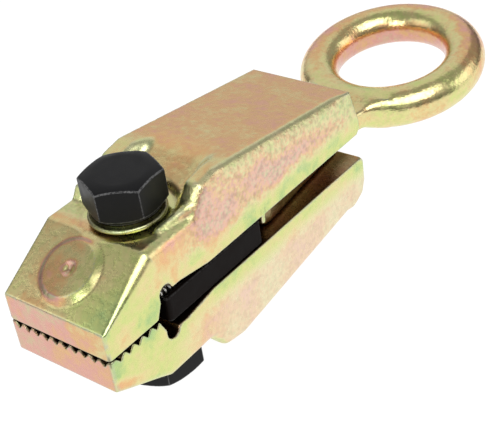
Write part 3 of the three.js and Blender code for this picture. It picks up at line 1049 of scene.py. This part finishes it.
JAW_ZINC = yellow_zinc("jaw_zinc", roughness=0.25, grain=0.5)
EYE_ZINC = yellow_zinc("eye_zinc", roughness=0.17, grain=0.5)
BOLT_BLACK = black_oxide(
    "bolt_black", tint=(0.005, 0.005, 0.0055), worn=0.35, roughness=0.42, shine=0.16,
)
BLOCK_BLACK = black_oxide(
    "block_black", tint=(0.004, 0.0025, 0.002), worn=0.08, roughness=0.5, shine=0.06,
)
BRIGHT_WIRE = spring_steel("bright_wire")

# Grid steps of the meshes, in millimetres
JAW_STEP = 0.55
EYE_STEP = 0.6
BLOCK_STEP = 0.45
THREADED_STEP = 0.36
WASHER_STEP = 0.3

upper = sculpt(
    "upper_jaw_forging", upper_jaw_field, "upper_jaw", JAW_STEP, forging=0.32,
    paint=lambda points, normals: paint_jaw(points, normals, 1),
)
place_piece(upper, "upper", "upper_jaw", JAW_ZINC)
lower = sculpt(
    "lower_jaw_forging", lower_jaw_field, "lower_jaw", JAW_STEP, forging=0.22,
    paint=lambda points, normals: paint_jaw(points, normals, -1),
)
place_piece(lower, "lower", "lower_jaw", JAW_ZINC)
eye = sculpt(
    "pull_eye_forging", eye_field, "pull_eye", EYE_STEP, forging=0.18, paint=paint_eye,
)
place_piece(eye, "eye", "pull_eye", EYE_ZINC)
bolt = sculpt("clamp_bolt_finished", bolt_field, "clamp_bolt", THREADED_STEP)
place_piece(bolt, "bolt", "clamp_bolt", BOLT_BLACK)
nut = sculpt("clamp_nut_finished", nut_field, "clamp_nut", THREADED_STEP)
place_piece(nut, "lower", "clamp_nut", BOLT_BLACK)
washer = sculpt(
    "bolt_washer_finished", washer_field, "bolt_washer", WASHER_STEP, forging=0.08,
    paint=paint_washer,
)
place_piece(washer, "washer", "bolt_washer", JAW_ZINC)
block = sculpt("pull_block_finished", block_field, "pull_block", BLOCK_STEP, forging=0.1)
place_piece(block, "block", "pull_block", BLOCK_BLACK)

JAW_SPRING_LOW, JAW_SPRING_HIGH = jaw_box("jaw_spring")
JAW_SPRING_WIRE = 0.85
jaw_spring = coil(
    "jaw_spring_wire",
    centre=(0, BOLT_Y, 0),
    axis=2,
    radius=JAW_SPRING_HIGH[0] - JAW_SPRING_WIRE,
    wire=JAW_SPRING_WIRE,
    turns=5,
    length=JAW_SPRING_HIGH[2] - JAW_SPRING_LOW[2],
)
jaw_spring.data.materials.append(BRIGHT_WIRE)
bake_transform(jaw_spring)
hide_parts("jaw_spring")

RETURN_SPRING_WIRE = 0.45
for hand, side in (("left", -1), ("right", 1)):
    spring = coil(
        f"return_spring_{hand}_wire",
        centre=(side * SPRING_X, (SPRING_LOW[1] + SPRING_HIGH[1]) / 2, SPRING_Z),
        axis=1,
        radius=(SPRING_HIGH[2] - SPRING_LOW[2]) / 2 - RETURN_SPRING_WIRE,
        wire=RETURN_SPRING_WIRE,
        turns=7,
        length=SPRING_HIGH[1] - SPRING_LOW[1],
        sides=8,
        steps=24,
    )
    place_piece(spring, "block", f"return_spring_{hand}", BRIGHT_WIRE)
    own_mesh(spring)

# ---------------------------------------------------------------------------------------------
# Floor, light and camera
# ---------------------------------------------------------------------------------------------
FLOOR_REACH = 4.0
FLOOR_GREY = 0.12
FLOOR_GLOW = 0.97
SKY_GREYS = [(0.0, 0.06), (0.12, 0.14), (0.35, 0.36)]  # from the horizon up
BACKDROP_GREY = 0.92

# Name, direction from the clamp, distance in metres, width, height and power
SOFTBOXES = [
    ("right_softbox", (0.52, -0.26, 0.80), 1.2, 0.8, 0.8, 6.5),
    ("rear_panel", (-0.58, 0.55, 0.58), 1.5, 2.0, 2.0, 5.0),
    ("front_panel", (-0.56, -0.67, 0.48), 1.3, 0.8, 0.8, 1.6),
    ("right_panel", (0.75, 0.55, 0.35), 1.3, 0.8, 0.8, 2.4),
    ("front_softbox", (0.2, -0.86, 0.46), 1.2, 0.5, 0.5, 3.2),
]

CAMERA_AZIMUTH = math.radians(42.5)
CAMERA_ELEVATION = math.radians(33.84)
CAMERA_ROLL = math.radians(-8.91)
CAMERA_TARGET = (-0.72, 91.7, -9.58)  # in the jaw frame
CAMERA_DISTANCE = 413.46
CAMERA_LENS = 85.55
CAMERA_SENSOR = 36


def add_floor():
    mesh = bpy.data.meshes.new("floor")
    reach = FLOOR_REACH
    corners = [(-reach, -reach, 0), (reach, -reach, 0), (reach, reach, 0), (-reach, reach, 0)]
    mesh.from_pydata(corners, [], [(0, 1, 2, 3)])
    floor = bpy.data.objects.new("floor", mesh)
    bpy.context.scene.collection.objects.link(floor)
    material, _, shader, _ = new_material("floor_white", Roughness=0.9)
    shader.inputs["Base Color"].default_value = (FLOOR_GREY, FLOOR_GREY, FLOOR_GREY, 1)
    shader.inputs["Emission Color"].default_value = (1, 1, 1, 1)
    shader.inputs["Emission Strength"].default_value = FLOOR_GLOW
    shader.inputs["Specular IOR Level"].default_value = 0.0
    mesh.materials.append(material)


def add_softbox(name, direction, distance, width, height, power):
    """A soft rectangular light that faces the clamp."""
    data = bpy.data.lights.new(name, "AREA")
    data.shape = "RECTANGLE"
    data.size, data.size_y = width, height
    data.energy = power
    lamp = bpy.data.objects.new(name, data)
    bpy.context.scene.collection.objects.link(lamp)
    towards = Vector(direction).normalized()
    lamp.location = towards * distance
    lamp.rotation_mode = "QUATERNION"
    lamp.rotation_quaternion = (-towards).to_track_quat("-Z", "Y")


def add_world():
    world = bpy.data.worlds.new("studio")
    bpy.context.scene.world = world
    world.use_nodes = True
    tree = world.node_tree
    place = add_node(tree, "ShaderNodeTexCoord").outputs["Generated"]
    height = add_node(tree, "ShaderNodeSeparateXYZ", {0: place}).outputs["Z"]
    sky = colour_ramp(tree, height, [(level, (grey,) * 3) for level, grey in SKY_GREYS])
    seen = add_node(tree, "ShaderNodeLightPath").outputs["Is Camera Ray"]
    colour = blend_colours(tree, seen, sky, (BACKDROP_GREY,) * 3)
    tree.links.new(colour, tree.nodes["Background"].inputs["Color"])


def add_camera():
    target = Vector(to_row_frame(CAMERA_TARGET))
    right = Vector((math.cos(CAMERA_AZIMUTH), math.sin(CAMERA_AZIMUTH), 0))
    back = Vector((
        math.sin(CAMERA_AZIMUTH) * math.cos(CAMERA_ELEVATION),
        -math.cos(CAMERA_AZIMUTH) * math.cos(CAMERA_ELEVATION),
        math.sin(CAMERA_ELEVATION),
    ))
    up = back.cross(right)
    tilted_right = right * math.cos(CAMERA_ROLL) + up * math.sin(CAMERA_ROLL)
    tilted_up = up * math.cos(CAMERA_ROLL) - right * math.sin(CAMERA_ROLL)
    turn = Matrix((tilted_right, tilted_up, back)).transposed()
    data = bpy.data.cameras.new("camera")
    data.lens, data.sensor_width = CAMERA_LENS, CAMERA_SENSOR
    camera = bpy.data.objects.new("camera", data)
    bpy.context.scene.collection.objects.link(camera)
    position = target + back * CAMERA_DISTANCE * MM
    camera.matrix_world = Matrix.Translation(position) @ turn.to_4x4()
    bpy.context.scene.camera = camera


add_floor()
add_world()
for softbox in SOFTBOXES:
    add_softbox(*softbox)
add_camera()
bpy.context.scene.view_settings.view_transform = "Standard"
